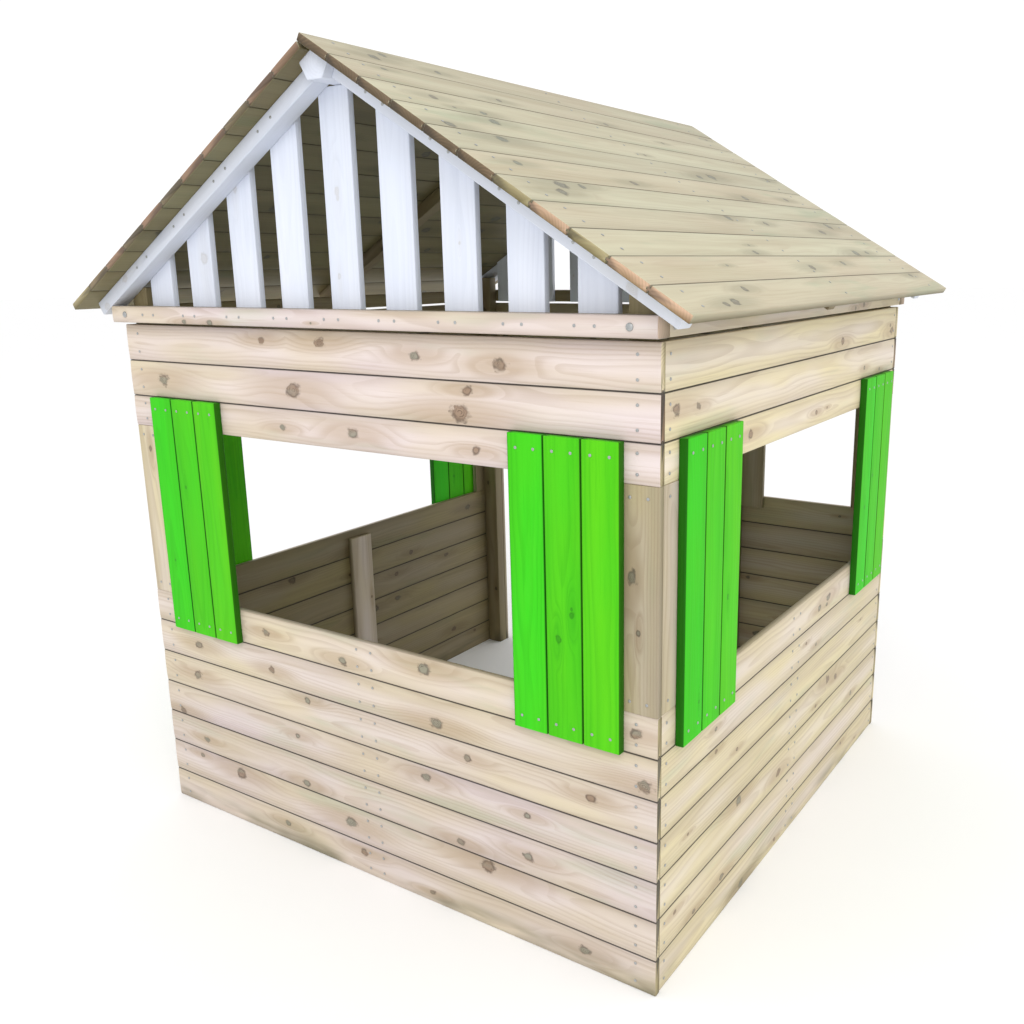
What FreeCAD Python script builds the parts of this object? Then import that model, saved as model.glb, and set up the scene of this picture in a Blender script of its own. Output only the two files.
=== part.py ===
import FreeCAD, Part
import Sketcher
import operator
import os
from collections import namedtuple
from math import cos, radians, sin, tan

# Timber playhouse with a gable roof.
# +Z is up, +X is to the right of somebody who faces the front gable, and the front faces -Y.
# The origin is on the ground, under the middle of the roof's outline.

driving_dimensions = [
    ("wall_width", 1630, "outside width of the walls, left to right"),
    ("wall_depth", 1570, "outside depth of the walls, front to back"),
    ("wall_top", 1404, "height of the cladding"),
    ("sill_height", 654, "height of the front, left and right sills"),
    ("back_sill_height", 753, "height of the back sill"),
    ("head_height", 1131, "height of the window and door heads"),
    ("board_pitch", 95, "cover width of a tongued cladding board"),
    ("ground_board", 88, "height of the lowest board, trimmed at the ground"),
    ("head_board", 83, "height of the lowest head board, trimmed at the opening"),
    ("cladding", 19, "thickness of a cladding board"),
    ("joint_gap", 0.6, "gap between two neighbouring boards"),
    ("tongue_length", 6, "how far a tongue stands out"),
    ("tongue_thickness", 5, "thickness of a tongue"),
    ("tongue_play", 0.3, "room round a tongue in its groove"),
    ("board_chamfer", 2, "chamfer along a board's outer edges"),
    ("post_width", 60, "post, left to right"),
    ("post_depth", 42, "post, front to back"),
    ("post_top", 1500, "height of the corner posts"),
    ("trim_width", 90, "upright trim board, across"),
    ("back_trim_width", 110, "upright trim board at the back right corner, across"),
    ("door_width", 1000, "clear width of the doorway"),
    ("door_trim_width", 79, "board inside the wall beside the door post, across"),
    ("door_trim_lap", 36, "how far that board laps the boards under and over the window"),
    ("batten_width", 95, "upright batten inside a wall"),
    ("batten_thickness", 20, "thickness of that batten"),
    ("batten_drop", 25, "distance from the sill down to the batten"),
    ("shutter_board", 88, "width of one shutter board"),
    ("shutter_gap", 1.5, "gap between two shutter boards"),
    ("shutter_thickness", 20, "thickness of a shutter board"),
    ("shutter_inset_left", 97, "front left shutter, from the wall's edge"),
    ("shutter_inset_right", 77, "front right shutter, from the wall's edge"),
    ("shutter_inset_side", 78, "side shutters, from the wall's edges"),
    ("beam_bottom", 1411, "underside of the roof's base frame"),
    ("beam_height", 42, "height of the base frame's timbers"),
    ("beam_reach", 30, "gable base beam, how far it stands before the wall"),
    ("beam_end_reach", 8.5, "gable base beam, how far it passes the wall's side"),
    ("ridge_height", 1987, "height of the ridge line, where the undersides of the roof meet"),
    ("ridge_offset", 25, "ridge line, to the right of the middle"),
    ("rafter_depth", 36, "rafter, square to the slope"),
    ("rafter_thickness", 45, "middle rafter, front to back"),
    ("rafter_tail", 67, "rafter, how far it passes the wall's side"),
    ("seat_gap", 0.2, "room between a rafter and the frame's top edge"),
    ("ridge_half_width", 43, "ridge beam, from its middle to its upper side corner"),
    ("ridge_drop", 61.7, "ridge beam, height of its section"),
    ("ridge_reach", 54, "ridge beam, how far it stands before the wall"),
    ("slat_width", 90, "gable slat, across"),
    ("slat_thickness", 18, "gable slat, front to back"),
    ("slat_pitch", 167, "distance from one gable slat to the next"),
    ("slat_gap", 1, "room between a slat's top and what is over it"),
    ("eave_reach", 105, "roof boards, how far their top edge passes the wall's side"),
    ("roof_board", 18, "thickness of a roof board"),
    ("roof_front_reach", 80, "roof boards, how far they pass the front wall"),
    ("roof_back_reach", 150, "roof boards, how far they pass the back wall"),
    ("nail_radius", 3.5, "radius of a nail head"),
    ("nail_height", 1.2, "height of a nail head"),
    ("bolt_radius", 8, "radius of a coach bolt's head"),
    ("bolt_height", 4, "height of a coach bolt's head"),
    ("trim_nail_inset", 25, "nail in a trim board, from the board's edges"),
    ("shutter_nail_inset", 30, "nail in a shutter board, from the board's end"),
    ("frame_half_width", "=wall_width / 2 + beam_end_reach", "base frame, from its middle"),
    ("rise", "=ridge_height - beam_bottom - beam_height", "base frame to the ridge line"),
    ("run_left", "=frame_half_width + ridge_offset", "frame's left edge to the ridge line"),
    ("run_right", "=frame_half_width - ridge_offset", "frame's right edge to the ridge line"),
    ("slope_left",
     "=atan(rise / run_left) - asin((rafter_depth + seat_gap) / hypot(run_left; rise))",
     "left slope of the roof, with its rafters just clear of the frame's top edge"),
    ("slope_right",
     "=atan(rise / run_right) - asin((rafter_depth + seat_gap) / hypot(run_right; rise))",
     "right slope of the roof, likewise"),
]
lower_boards = 7
back_lower_boards = 8
head_boards = 3
roof_boards = 11
slats_each_side = 4
shutter_boards = 3
boards_under_shutter = 5
nail_shares = (0.25, 0.75)

doc = FreeCAD.newDocument("playhouse")
sheet = doc.addObject("Spreadsheet::Sheet", "d")
for row, (alias, value, note) in enumerate(driving_dimensions, start=1):
    sheet.set(f"A{row}", alias)
    sheet.set(f"B{row}", str(value))
    sheet.setAlias(f"B{row}", alias)
    sheet.set(f"C{row}", note)
doc.recompute()

arithmetic = {"+": operator.add, "-": operator.sub, "*": operator.mul, "/": operator.truediv}


class Size:
    """A number and the sheet formula that gives it, kept together through arithmetic."""

    def __init__(self, value, formula):
        self.value = value
        self.formula = formula

    def __add__(self, other):
        return joined(self, "+", other)

    def __radd__(self, other):
        return joined(other, "+", self)

    def __sub__(self, other):
        return joined(self, "-", other)

    def __rsub__(self, other):
        return joined(other, "-", self)

    def __mul__(self, other):
        return joined(self, "*", other)

    def __rmul__(self, other):
        return joined(other, "*", self)

    def __truediv__(self, other):
        return joined(self, "/", other)

    def __neg__(self):
        return joined(-1, "*", self)


def as_size(thing):
    if isinstance(thing, Size):
        return thing
    return Size(thing, f"({thing})")


def joined(left, sign, right):
    left = as_size(left)
    right = as_size(right)
    value = arithmetic[sign](left.value, right.value)
    return Size(value, f"({left.formula} {sign} {right.formula})")


def cell(alias):
    return Size(float(sheet.get(alias)), f"d.{alias}")


def sine(angle):
    return Size(sin(radians(angle.value)), f"sin({angle.formula})")


def cosine(angle):
    return Size(cos(radians(angle.value)), f"cos({angle.formula})")


def tangent(angle):
    return Size(tan(radians(angle.value)), f"tan({angle.formula})")


def bind(thing, sizes):
    for path, length in sizes.items():
        thing.setExpression(path, as_size(length).formula)


def place(thing, corner, axis=FreeCAD.Vector(0, 0, 1), angle=0):
    # The turn is made first, so that the corner's formulas have a placement to drive.
    turn = as_size(angle)
    thing.Placement = FreeCAD.Placement(FreeCAD.Vector(), FreeCAD.Rotation(axis, turn.value))
    bind(thing, {f"Placement.Base.{way}": value for way, value in zip("xyz", corner)})
    if isinstance(angle, Size):
        bind(thing, {"Placement.Rotation.Angle": angle})


def block(name, extent, corner, axis=FreeCAD.Vector(0, 0, 1), angle=0):
    box = doc.addObject("Part::Box", name)
    bind(box, dict(zip(("Length", "Width", "Height"), extent)))
    place(box, corner, axis, angle)
    return box


nodes = []


def node(thing, label=None):
    if label:
        thing.Label = label
    nodes.append(thing)
    return thing


def gather(label, members):
    bundle = doc.addObject("Part::Compound", label)
    bundle.Links = members
    return node(bundle)


# Sizes that several pieces share.
half_width = cell("wall_width") / 2
roof_length = cell("wall_depth") + cell("roof_front_reach") + cell("roof_back_reach")
front = cell("roof_front_reach") - roof_length / 2
back = front + cell("wall_depth")
cladding = cell("cladding")
beam_bottom = cell("beam_bottom")
frame_half_width = cell("frame_half_width")
frame_thickness = cell("beam_reach") + cladding
ridge_line = cell("ridge_height")
ridge_x = cell("ridge_offset")
sides = {"left": -1, "right": 1}
slopes = {side: cell(f"slope_{side}") for side in sides}

def add_outline(sketch, corners):
    """Closed outline through corners, each bound to the sheet on both sketch axes."""
    points = [FreeCAD.Vector(as_size(a).value, as_size(b).value, 0) for a, b in corners]
    for start, end in zip(points, points[1:] + points[:1]):
        sketch.addGeometry(Part.LineSegment(start, end), False)
    count = len(points)
    for index in range(count):
        sketch.addConstraint(Sketcher.Constraint("Coincident", index, 2, (index + 1) % count, 1))
    for index, corner in enumerate(corners):
        for kind, axis_line, length in zip(("DistanceX", "DistanceY"), (-2, -1), corner):
            length = as_size(length)
            if length.value == 0:
                sketch.addConstraint(Sketcher.Constraint("PointOnObject", index, 1, axis_line))
                continue
            number = sketch.addConstraint(
                Sketcher.Constraint(kind, -1, 1, index, 1, length.value))
            sketch.setExpression(f"Constraints[{number}]", length.formula)


def origin_feature(body, role):
    return next(part for part in body.Origin.OriginFeatures if part.Role == role)


def board_section(pitch, thickness):
    """Corners of a tongued board: depth from its outer face, and height up the field."""
    top = pitch - cell("joint_gap")
    tongue_near = (thickness - cell("tongue_thickness")) / 2
    tongue_far = tongue_near + cell("tongue_thickness")
    play = cell("tongue_play")
    chamfer = cell("board_chamfer")
    groove = cell("tongue_length") + play
    return [
        (chamfer, 0), (0, chamfer), (0, top - chamfer), (chamfer, top),
        (tongue_near, top), (tongue_near, top + cell("tongue_length")),
        (tongue_far, top + cell("tongue_length")), (tongue_far, top), (thickness, top),
        (thickness, 0), (tongue_far + play, 0), (tongue_far + play, groove),
        (tongue_near - play, groove), (tongue_near - play, 0),
    ]


def board_field(name, plane, run_reversed, pattern_axis, corners, run, pitch, count):
    """A body of equal tongued boards, laid one beside the other."""
    body = doc.addObject("PartDesign::Body", name)
    body.AllowCompound = True
    sketch = body.newObject("Sketcher::SketchObject", f"{name}_section")
    sketch.AttachmentSupport = (origin_feature(body, plane), "")
    sketch.MapMode = "FlatFace"
    add_outline(sketch, corners)
    pad = body.newObject("PartDesign::Pad", f"{name}_board")
    pad.Profile = sketch
    pad.Reversed = run_reversed
    bind(pad, {"Length": run})
    doc.recompute()
    pattern = body.newObject("PartDesign::LinearPattern", f"{name}_boards")
    pattern.Originals = [pad]
    pattern.Direction = (origin_feature(body, pattern_axis), [""])
    pattern.Occurrences = count
    bind(pattern, {"Length": pitch * (count - 1)})
    body.Tip = pattern
    return body


def trimmed(label, field, band):
    """What is left of a field of boards inside a straight band."""
    piece = doc.addObject("Part::Common", label)
    piece.Base = field
    piece.Tool = band
    return node(piece)


# Each wall runs along from its left end, as seen from outside. Its facing points outwards.
Wall = namedtuple("Wall", "start along facing yaw run")
walls = {
    "front": Wall((-half_width, front), (1, 0), (0, -1), 0, cell("wall_width")),
    "right": Wall((half_width, front), (0, 1), (1, 0), 90, cell("wall_depth")),
    "back": Wall((half_width, back), (-1, 0), (0, 1), 180, cell("wall_width")),
    "left": Wall((-half_width, back), (0, -1), (-1, 0), 270, cell("wall_depth")),
}
# The front and back boards run through, and the side boards butt against them.
lap = {"front": 0, "right": cladding, "back": 0, "left": cladding}


def on_wall(wall, distance, outward=0):
    """Place on the ground of a point, by distance along a wall and outwards from its face."""
    wall = walls[wall]
    return tuple(start + distance * along + outward * facing
                 for start, along, facing in zip(wall.start, wall.along, wall.facing))


def wall_block(name, wall, distance, outward, low, extent):
    """A block that runs along a wall from a distance, inwards from outward, up from low."""
    return block(name, extent, (*on_wall(wall, distance, outward), low), angle=walls[wall].yaw)


def wall_panel(label, wall, distance, run, low, high, first_joint, count):
    """Boards of one wall between two heights. The field starts a board below first_joint."""
    pitch = cell("board_pitch")
    corners = board_section(pitch, cladding)
    field = board_field(f"{label}_field", "YZ_Plane", False, "Z_Axis", corners, run, pitch, count)
    place(field, (*on_wall(wall, distance), first_joint - pitch), angle=walls[wall].yaw)
    band = wall_block(f"{label}_band", wall, distance, 0, low, (run, cladding, high - low))
    return trimmed(label, field, band)


head_joint = cell("head_height") + cell("head_board")
for name, wall in walls.items():
    run = wall.run - 2 * lap[name]
    if name != "back":
        wall_panel(f"{name}_lower_cladding", name, lap[name], run,
                   0, cell("sill_height"), cell("ground_board"), lower_boards)
    wall_panel(f"{name}_head_cladding", name, lap[name], run,
               cell("head_height"), cell("wall_top"), head_joint, head_boards)

# The doorway runs from the back left corner post to the door post. The back wall's lower
# boards fill the rest, flush with the door post, and one upright board covers the corner.
post_width = cell("post_width")
corner_cover = cladding + post_width
back_run = cell("wall_width") - corner_cover - cell("door_width")
wall_panel("back_lower_cladding", "back", 0, back_run,
           0, cell("back_sill_height"), cell("ground_board"), back_lower_boards)
node(wall_block("back_corner_board", "back", cell("wall_width") - corner_cover, 0, 0,
                (corner_cover, cladding, cell("head_height"))))

# Corner posts stand inside the cladding and pass up behind the roof's base beams.
post_depth = cell("post_depth")
post_extent = (post_width, post_depth, cell("post_top"))
post_x = {"left": cladding - half_width, "right": half_width - cladding - post_width}
post_y = {"front": front + cladding, "back": back - cladding - post_depth}
for depth_name, near_y in post_y.items():
    for side, left_x in post_x.items():
        node(block(f"corner_post_{depth_name}_{side}", post_extent, (left_x, near_y, 0)))

# The door post carries the back boards' ends and stops at the cladding's top.
door_x = half_width - back_run
node(block("door_post", (post_width, post_depth, cell("wall_top")),
           (door_x, post_y["back"], 0)))

# Upright trim boards close the walls beside the windows, in the plane of the cladding.
sill = cell("sill_height")
back_sill = cell("back_sill_height")
head_height = cell("head_height")
trims = {
    "front_trim_left": ("front", 0, cell("trim_width"), sill),
    "front_trim_right": ("front", cell("wall_width") - cell("trim_width"),
                         cell("trim_width"), sill),
    "right_trim_front": ("right", cladding, cell("trim_width"), sill),
    "right_trim_back": ("right", cell("wall_depth") - cladding - cell("trim_width"),
                        cell("trim_width"), sill),
    "left_trim_back": ("left", cladding, cell("trim_width"), sill),
    "left_trim_front": ("left", cell("wall_depth") - cladding - cell("trim_width"),
                        cell("trim_width"), sill),
    "back_trim_right": ("back", 0, cell("back_trim_width"), back_sill),
}
for label, (wall, distance, width, low) in trims.items():
    node(wall_block(label, wall, distance, 0, low, (width, cladding, head_height - low)))

# Beside the door post a shorter board laps the sill board and the head board from inside.
door_lap = cell("door_trim_lap")
door_trim_x = door_x + post_width
node(block("door_trim", (cell("door_trim_width"), cladding, head_height - back_sill + 2 * door_lap),
           (door_trim_x, back - 2 * cladding, back_sill - door_lap)))

# One batten stands inside the middle of each full lower wall and ties its boards together.
batten = cell("batten_width")
for name in ("front", "left", "right"):
    node(wall_block(f"{name}_batten", name, (walls[name].run - batten) / 2, -cladding, 0,
                    (batten, cell("batten_thickness"), sill - cell("batten_drop"))))

# Fixed shutters: three upright boards each, nailed over the sill board and the head board.
shutter_board = cell("shutter_board")
shutter_step = shutter_board + cell("shutter_gap")
shutter_width = shutter_boards * shutter_step - cell("shutter_gap")
shutter_thickness = cell("shutter_thickness")
shutter_bottom = cell("ground_board") + boards_under_shutter * cell("board_pitch")
side_inset = cell("shutter_inset_side")
side_far = cell("wall_depth") - side_inset - shutter_width
shutters = {
    "front_shutter_left": ("front", cell("shutter_inset_left")),
    "front_shutter_right": ("front",
                            cell("wall_width") - cell("shutter_inset_right") - shutter_width),
    "right_shutter_front": ("right", side_inset),
    "right_shutter_back": ("right", side_far),
    "left_shutter_back": ("left", side_inset),
    "left_shutter_front": ("left", side_far),
}
for label, (wall, distance) in shutters.items():
    gather(label, [
        wall_block(f"{label}_board_{number + 1}", wall, distance + number * shutter_step,
                   shutter_thickness, shutter_bottom,
                   (shutter_board, shutter_thickness, head_joint - shutter_bottom))
        for number in range(shutter_boards)
    ])

# Base frame of the roof: a beam under each gable, and a plate along each side.
beam_extent = (2 * frame_half_width, frame_thickness, cell("beam_height"))
gable_y = {"front": front - cell("beam_reach"), "back": back - cladding}
for depth_name, beam_y in gable_y.items():
    node(block(f"{depth_name}_base_beam", beam_extent, (-frame_half_width, beam_y, beam_bottom)))
plate_width = cladding + cell("beam_end_reach")
plate_extent = (plate_width, cell("wall_depth") - 2 * cladding, cell("beam_height"))
for side, plate_x in (("left", -frame_half_width), ("right", frame_half_width - plate_width)):
    node(block(f"{side}_eave_plate", plate_extent, (plate_x, front + cladding, beam_bottom)))

# Rafters: square-cut timbers that butt against the ridge beam's slanting sides.
across_y = FreeCAD.Vector(0, 1, 0)
ridge_half = cell("ridge_half_width")
rafter_depth = cell("rafter_depth")


def on_slope(side, distance, lift):
    """Place across and height of a point, by distance down a slope and lift square to it."""
    slope = slopes[side]
    out = distance * cosine(slope) + lift * sine(slope)
    height = ridge_line - distance * sine(slope) + lift * cosine(slope)
    return ridge_x + sides[side] * out, height


def slope_end(side, reach):
    """Distance down a slope to a point over the wall's side, moved outwards by reach."""
    return (half_width + reach - sides[side] * ridge_x) / cosine(slopes[side])


def rafter(label, side, near_y, thickness):
    start = ridge_half / cosine(slopes[side]) + cell("seat_gap")
    end = slope_end(side, cell("rafter_tail"))
    corner_x, height = on_slope(side, start if side == "right" else end, -rafter_depth)
    return node(block(label, (end - start, thickness, rafter_depth), (corner_x, near_y, height),
                      across_y, sides[side] * slopes[side]))


middle = (front + back) / 2
middle_rafter = cell("rafter_thickness")
for side in sides:
    rafter(f"front_rafter_{side}", side, gable_y["front"], frame_thickness)
    rafter(f"middle_rafter_{side}", side, middle - middle_rafter / 2, middle_rafter)
    rafter(f"back_rafter_{side}", side, gable_y["back"], frame_thickness)

# Ridge beam: its top follows both slopes, and its sides are square to them.
ridge_beam = doc.addObject("PartDesign::Body", "ridge_beam")
ridge_section = ridge_beam.newObject("Sketcher::SketchObject", "ridge_section")
ridge_section.AttachmentSupport = (origin_feature(ridge_beam, "XZ_Plane"), "")
ridge_section.MapMode = "FlatFace"
ridge_drop = cell("ridge_drop")
ridge_foot = ridge_line - ridge_drop
shoulder_drop = {side: ridge_half * tangent(slopes[side]) for side in sides}
foot_half = {side: ridge_half - (ridge_drop - shoulder_drop[side]) * tangent(slopes[side])
             for side in sides}
add_outline(ridge_section, [
    (0, ridge_line),
    (ridge_half, ridge_line - shoulder_drop["right"]), (foot_half["right"], ridge_foot),
    (-foot_half["left"], ridge_foot), (-ridge_half, ridge_line - shoulder_drop["left"]),
])
ridge_pad = ridge_beam.newObject("PartDesign::Pad", "ridge_pad")
ridge_pad.Profile = ridge_section
ridge_pad.Reversed = True
bind(ridge_pad, {"Length": cell("wall_depth") + 2 * cell("ridge_reach")})
place(ridge_beam, (ridge_x, front - cell("ridge_reach"), 0))
node(ridge_beam)

# Gable slats stand behind the beam and rafters; a wedge with a cut-off top gives their tops.
slat_high = ridge_foot - cell("slat_gap")
slat_top = {side: ridge_line - cell("slat_gap") / cosine(slopes[side]) for side in sides}
wedge_floor = {side: (slat_top[side] - beam_bottom) / tangent(slopes[side]) for side in sides}
wedge_crown = {side: (slat_top[side] - slat_high) / tangent(slopes[side]) for side in sides}
slat_thickness = cell("slat_thickness")
slat_numbers = range(-slats_each_side, slats_each_side + 1)
for depth_name, slat_y in (("front", front + cladding),
                           ("back", back - cladding - slat_thickness)):
    slats = []
    for number in slat_numbers:
        slat_x = cell("slat_pitch") * number - cell("slat_width") / 2
        slats.append(block(f"{depth_name}_slat_{number + slats_each_side + 1}",
                           (cell("slat_width"), slat_thickness, slat_high - beam_bottom),
                           (slat_x, slat_y, beam_bottom)))
    row = doc.addObject("Part::Compound", f"{depth_name}_slat_row")
    row.Links = slats
    # The wedge's own Y is up and its Z runs forwards once it is tipped about X.
    gable = doc.addObject("Part::Wedge", f"{depth_name}_gable_outline")
    bind(gable, {
        "Xmin": -wedge_floor["left"], "Xmax": wedge_floor["right"],
        "X2min": -wedge_crown["left"], "X2max": wedge_crown["right"],
        "Ymin": 0, "Ymax": slat_high - beam_bottom,
        "Zmin": 0, "Zmax": slat_thickness, "Z2min": 0, "Z2max": slat_thickness,
    })
    place(gable, (ridge_x, slat_y + slat_thickness, beam_bottom), FreeCAD.Vector(1, 0, 0), 90)
    trimmed(f"{depth_name}_gable_slats", row, gable)

# Roof boards run front to back. At the ridge the right-hand boards cover the left-hand ends.
roof_board = cell("roof_board")
both_slopes = slopes["left"] + slopes["right"]
roof_start = {
    "left": roof_board / tangent(both_slopes) + cell("joint_gap"),
    "right": -(roof_board / sine(both_slopes)),
}
roof_end = {side: slope_end(side, cell("eave_reach") - roof_board * sine(slopes[side]))
            for side in sides}
roof_pitch = {side: (roof_end[side] - roof_start[side] + cell("joint_gap")) / roof_boards
              for side in sides}
roof_y = front - cell("roof_front_reach")
for side in sides:
    pitch = roof_pitch[side]
    corners = [(height, roof_board - depth) for depth, height in board_section(pitch, roof_board)]
    field = board_field(f"roof_field_{side}", "XZ_Plane", True, "X_Axis", corners,
                        roof_length, pitch, roof_boards)
    near_end = roof_start[side] if side == "right" else roof_end[side]
    corner_x, height = on_slope(side, near_end, 0)
    angle = sides[side] * slopes[side]
    place(field, (corner_x, roof_y, height), across_y, angle)
    band = block(f"roof_band_{side}", (roof_end[side] - roof_start[side], roof_length, roof_board),
                 (corner_x, roof_y, height), across_y, angle)
    trimmed(f"roof_boards_{side}", field, band)
doc.recompute()


# Nails and bolts are hundreds of equal heads, so each kind is one shape made from the sheet.
def fastener_group(label, kind, spots):
    """One cylinder on each spot, a point with the direction in which its head stands out."""
    radius = cell(f"{kind}_radius").value
    height = cell(f"{kind}_height").value
    heads = [Part.makeCylinder(radius, height, FreeCAD.Vector(*point), FreeCAD.Vector(*outward))
             for point, outward in spots]
    shape = doc.addObject("Part::Feature", label)
    shape.Shape = Part.makeCompound(heads)
    return node(shape)


def wall_spot(wall, distance, height, outward=0):
    """Spot on a wall's outer face, or in front of it."""
    point = [as_size(part).value for part in on_wall(wall, distance, outward)]
    return (*point, height), (*walls[wall].facing, 0)


def board_lines(first_joint, low, high):
    """Two nail heights on each board between low and high."""
    step = cell("board_pitch").value
    edges = [low]
    while first_joint < high:
        edges.append(first_joint)
        first_joint += step
    edges.append(high)
    lines = []
    for lower, upper in zip(edges, edges[1:]):
        quarter = (upper - lower) / 4
        lines += [lower + quarter, upper - quarter]
    return lines


def is_under_shutter(wall, distance, height):
    """The cladding nails that a shutter would cover are left out: it lies flat there."""
    margin = cell("nail_radius").value
    if not shutter_bottom.value - margin < height < head_joint.value + margin:
        return False
    return any(place_wall == wall
               and start.value - margin < distance < (start + shutter_width).value + margin
               for place_wall, start in shutters.values())


ground_joint = cell("ground_board").value
lower_lines = board_lines(ground_joint, 0, sill.value)
back_lines = board_lines(ground_joint, 0, back_sill.value)
head_lines = board_lines(head_joint.value, head_height.value, cell("wall_top").value)
front_inset = (cladding + post_width / 2).value
side_inset_nail = (cladding + post_depth / 2).value
trim_inset = cell("trim_nail_inset").value

# Cladding nails: into the corner posts, the door post and the battens.
cladding_nails = []
for name, inset in (("front", front_inset), ("left", side_inset_nail),
                    ("right", side_inset_nail)):
    run = walls[name].run.value
    for height in lower_lines + head_lines:
        cladding_nails += [(name, inset, height), (name, run - inset, height)]
    for height in lower_lines:
        cladding_nails += [(name, run / 2 - batten.value / 4, height),
                           (name, run / 2 + batten.value / 4, height)]
back_far = cell("wall_width").value - front_inset
door_line = (back_run - post_width / 2).value
for height in back_lines + head_lines:
    cladding_nails += [("back", distance, height) for distance in (front_inset, door_line, back_far)]
cladding_nails.append(("back", back_far, head_height.value - trim_inset))
# Each trim board has two nails across, near its top and bottom.
for wall, distance, width, low in trims.values():
    for height in (low.value + trim_inset, head_height.value - trim_inset):
        for across in (trim_inset, width.value - trim_inset):
            cladding_nails.append((wall, as_size(distance).value + across, height))
# The lapped board beside the door post is nailed through the sill board and the head board.
for height in (back_sill - door_lap / 2, head_height + door_lap / 2):
    for across in nail_shares:
        distance = back_run - post_width - across * cell("door_trim_width")
        cladding_nails.append(("back", distance.value, height.value))
fastener_group("cladding_nails", "nail",
               [wall_spot(*nail) for nail in cladding_nails if not is_under_shutter(*nail)])

# Shutter nails: two across each board, on the sill board and on the head board.
shutter_inset = cell("shutter_nail_inset")
shutter_nails = []
for wall, distance in shutters.values():
    for number in range(shutter_boards):
        for across in nail_shares:
            along = distance + number * shutter_step + across * shutter_board
            for height in (shutter_bottom + shutter_inset, head_joint - shutter_inset):
                shutter_nails.append(wall_spot(wall, along, height.value, shutter_thickness))
fastener_group("shutter_nails", "nail", shutter_nails)

# Gable nails: two through the beam into each slat, and two through the rafter over it.
beam_line = (beam_bottom + cell("beam_height") / 2).value
gable_faces = {"front": front - cell("beam_reach"), "back": back + cell("beam_reach")}
gable_nails = []
for name, face_y in gable_faces.items():
    facing = (*walls[name].facing, 0)
    for number in slat_numbers:
        for across in nail_shares:
            x = (number * cell("slat_pitch") + (across - 0.5) * cell("slat_width")).value
            gable_nails.append(((x, face_y.value, beam_line), facing))
            side = "right" if x > ridge_x.value else "left"
            fall = abs(x - ridge_x.value) * tangent(slopes[side]).value
            height = ridge_line.value - fall - (rafter_depth / 2 / cosine(slopes[side])).value
            if number != 0:
                gable_nails.append(((x, face_y.value, height), facing))
fastener_group("gable_nails", "nail", gable_nails)

# Roof nails: two on every board over each of the three pairs of rafters.
rafter_rows = [near_y + frame_thickness / 2 for near_y in gable_y.values()]
rafter_rows.append(middle)
roof_nails = []
for side, sign in sides.items():
    facing = (sign * sine(slopes[side]).value, 0, cosine(slopes[side]).value)
    for number in range(roof_boards):
        for across in nail_shares:
            distance = roof_start[side] + (number + across) * roof_pitch[side]
            x, height = on_slope(side, distance, roof_board)
            roof_nails += [((x.value, row.value, height.value), facing) for row in rafter_rows]
fastener_group("roof_nails", "nail", roof_nails)

# Coach bolts hold the base frame to the corner posts.
frame_bolts = []
for name, inset, reach in (("front", front_inset, cell("beam_reach")),
                           ("back", front_inset, cell("beam_reach")),
                           ("left", side_inset_nail, cell("beam_end_reach")),
                           ("right", side_inset_nail, cell("beam_end_reach"))):
    for distance in (inset, walls[name].run.value - inset):
        frame_bolts.append(wall_spot(name, distance, beam_line, reach))
fastener_group("frame_bolts", "bolt", frame_bolts)
doc.recompute()

for thing in doc.Objects:
    if "Invalid" in thing.State or "Error" in thing.State:
        raise RuntimeError(f"{thing.Label} failed: {thing.State}")
for thing in nodes:
    if thing.Shape.isNull() or not thing.Shape.isValid():
        raise RuntimeError(f"{thing.Label} has no valid shape")

os.makedirs("parts", exist_ok=True)
for thing in nodes:
    thing.Shape.exportStep(f"parts/{thing.Label}.step")
    box = thing.Shape.BoundBox
    print(f"{thing.Label}: {len(thing.Shape.Solids)} solids, "
          f"x {box.XMin:.1f} to {box.XMax:.1f}, y {box.YMin:.1f} to {box.YMax:.1f}, "
          f"z {box.ZMin:.1f} to {box.ZMax:.1f}")
print(f"{len(nodes)} nodes")
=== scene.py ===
import bpy
import numpy as np
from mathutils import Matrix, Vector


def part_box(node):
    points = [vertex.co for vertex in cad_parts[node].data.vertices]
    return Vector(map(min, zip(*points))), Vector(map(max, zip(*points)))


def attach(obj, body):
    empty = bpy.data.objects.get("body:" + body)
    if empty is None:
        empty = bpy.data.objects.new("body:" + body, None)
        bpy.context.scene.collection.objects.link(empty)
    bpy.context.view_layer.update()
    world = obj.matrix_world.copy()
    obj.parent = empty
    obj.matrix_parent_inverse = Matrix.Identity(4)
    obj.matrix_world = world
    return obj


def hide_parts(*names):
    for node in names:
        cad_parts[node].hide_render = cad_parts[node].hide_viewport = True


# Timber playhouse: tongued board walls, fixed green shutters, a slatted white gable, a board roof.
# Every board is its own closed surface with grain, knots and rounded edges of its own.

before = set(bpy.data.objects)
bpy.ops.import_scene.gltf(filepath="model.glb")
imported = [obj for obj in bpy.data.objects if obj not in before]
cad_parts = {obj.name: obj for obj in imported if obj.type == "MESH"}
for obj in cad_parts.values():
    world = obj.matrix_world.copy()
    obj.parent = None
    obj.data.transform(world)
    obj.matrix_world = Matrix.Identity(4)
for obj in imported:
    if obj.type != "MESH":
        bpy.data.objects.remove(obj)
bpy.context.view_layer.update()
print("frame loaded:", len(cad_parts), "nodes")

upward = np.array((0.0, 0.0, 1.0))
facing = {
    "front": np.array((0.0, -1.0, 0.0)),
    "right": np.array((1.0, 0.0, 0.0)),
    "back": np.array((0.0, 1.0, 0.0)),
    "left": np.array((-1.0, 0.0, 0.0)),
}


def nodeBox(name):
    low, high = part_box(name)
    return np.array(low), np.array(high)


# Shader graphs

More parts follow.
